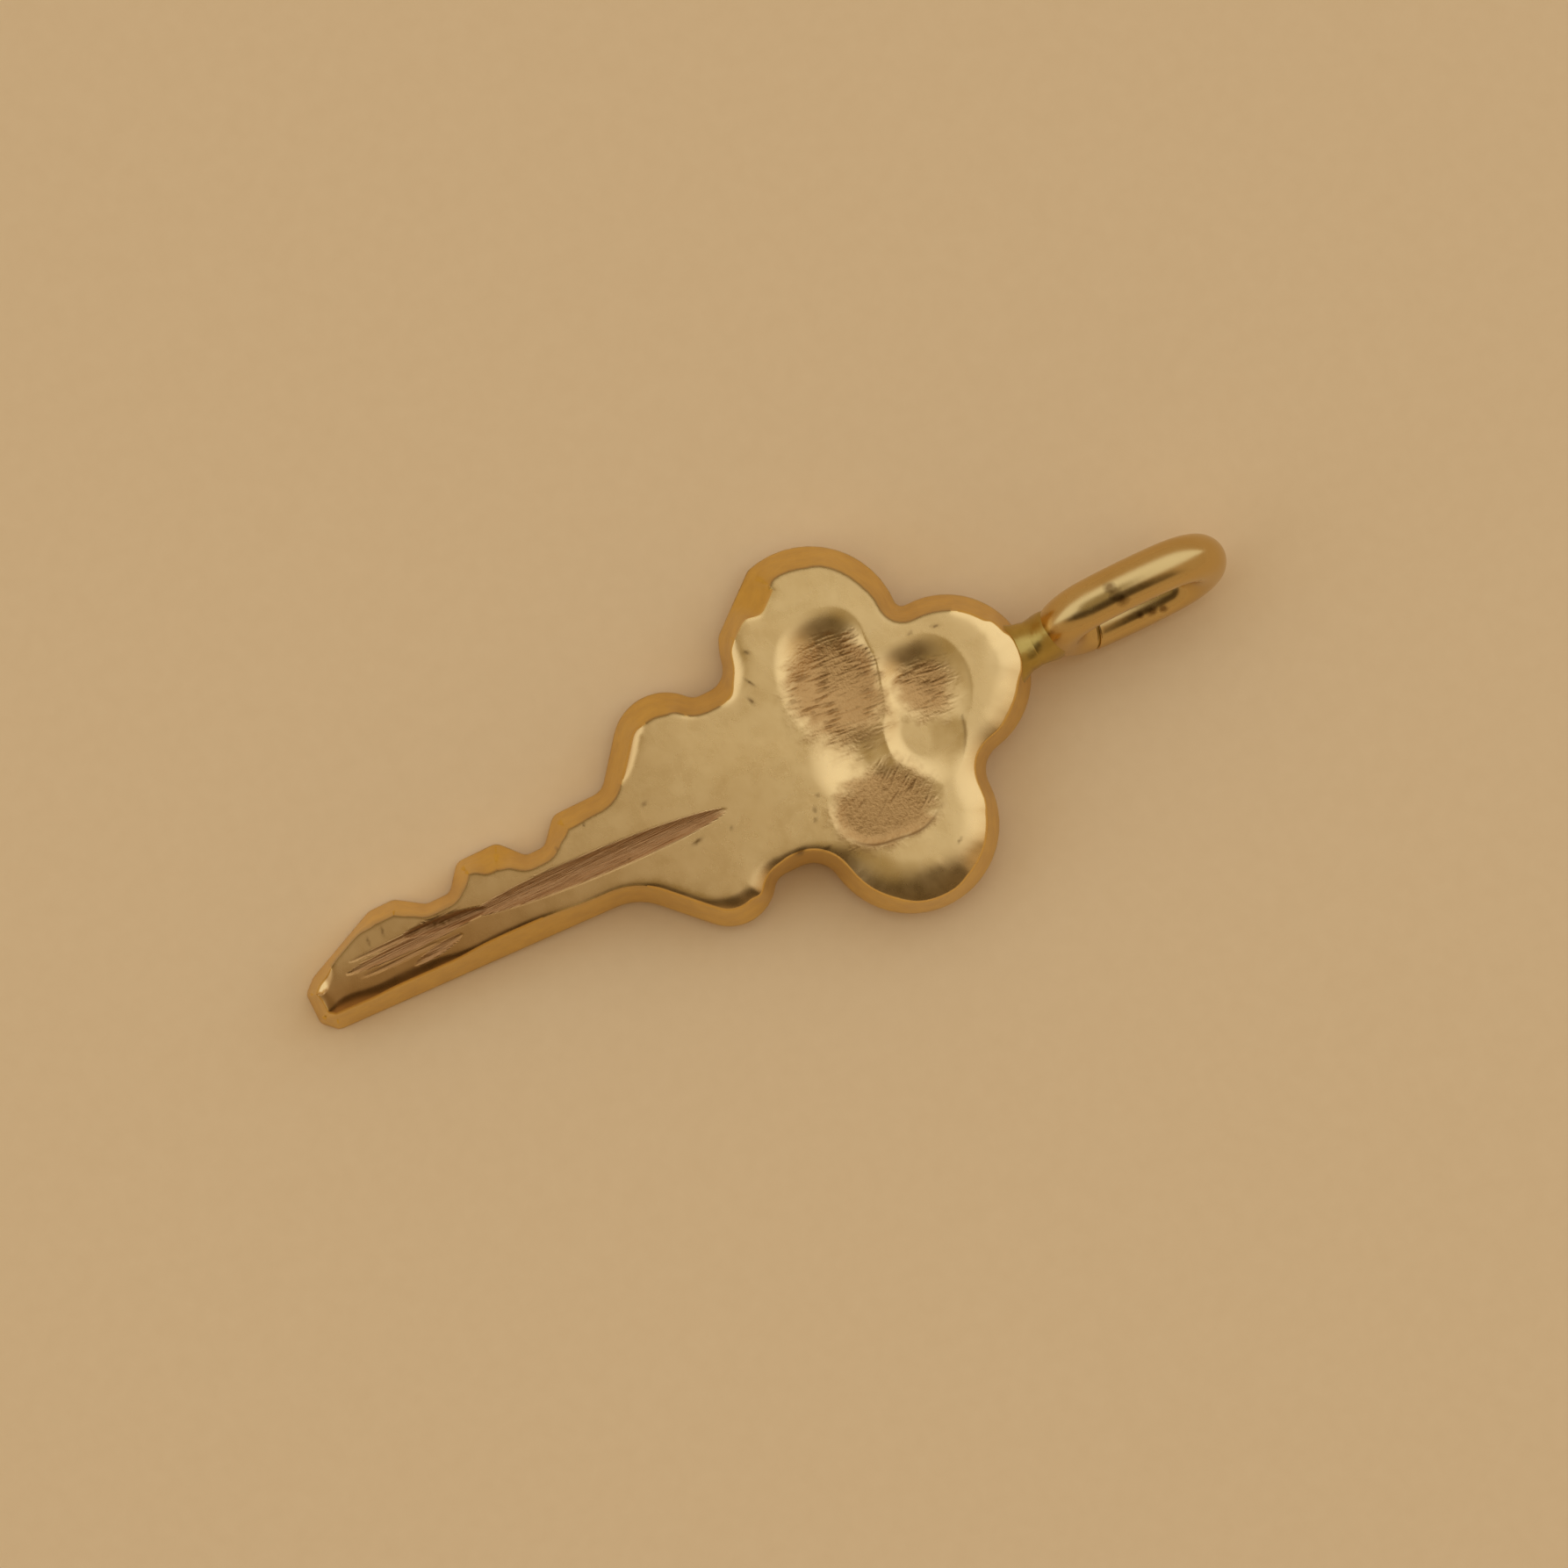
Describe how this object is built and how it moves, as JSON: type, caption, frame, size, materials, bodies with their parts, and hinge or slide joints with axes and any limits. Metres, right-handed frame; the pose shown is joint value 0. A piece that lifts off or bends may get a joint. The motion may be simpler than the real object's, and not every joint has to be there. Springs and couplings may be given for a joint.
{
  "type": "key charm",
  "caption": "Small cast gold charm in the shape of a key, with a lobed bow, a scooped recess, an engraved groove, filed teeth and a soldered oval wire bail to hang it from a fine chain.",
  "frame": {"origin": "on the flat back, under the middle of the bow", "axes": "+X from the blade's tip towards the bail, +Y towards the toothed edge, +Z out of the engraved face"},
  "size_m": [0.0179, 0.0069, 0.0025],
  "materials": {
    "cast_gold": "polished cast gold",
    "gold_wire": "polished drawn gold wire",
    "gold_solder": "bright gold solder"
  },
  "bodies": {
    "root": {"key_body": "cast_gold", "neck_peg": "gold_wire", "bow_solder": "gold_solder", "bail_solder": "gold_solder", "bail_ring": "gold_wire", "seam_solder": "gold_solder"}
  },
  "joints": []
}
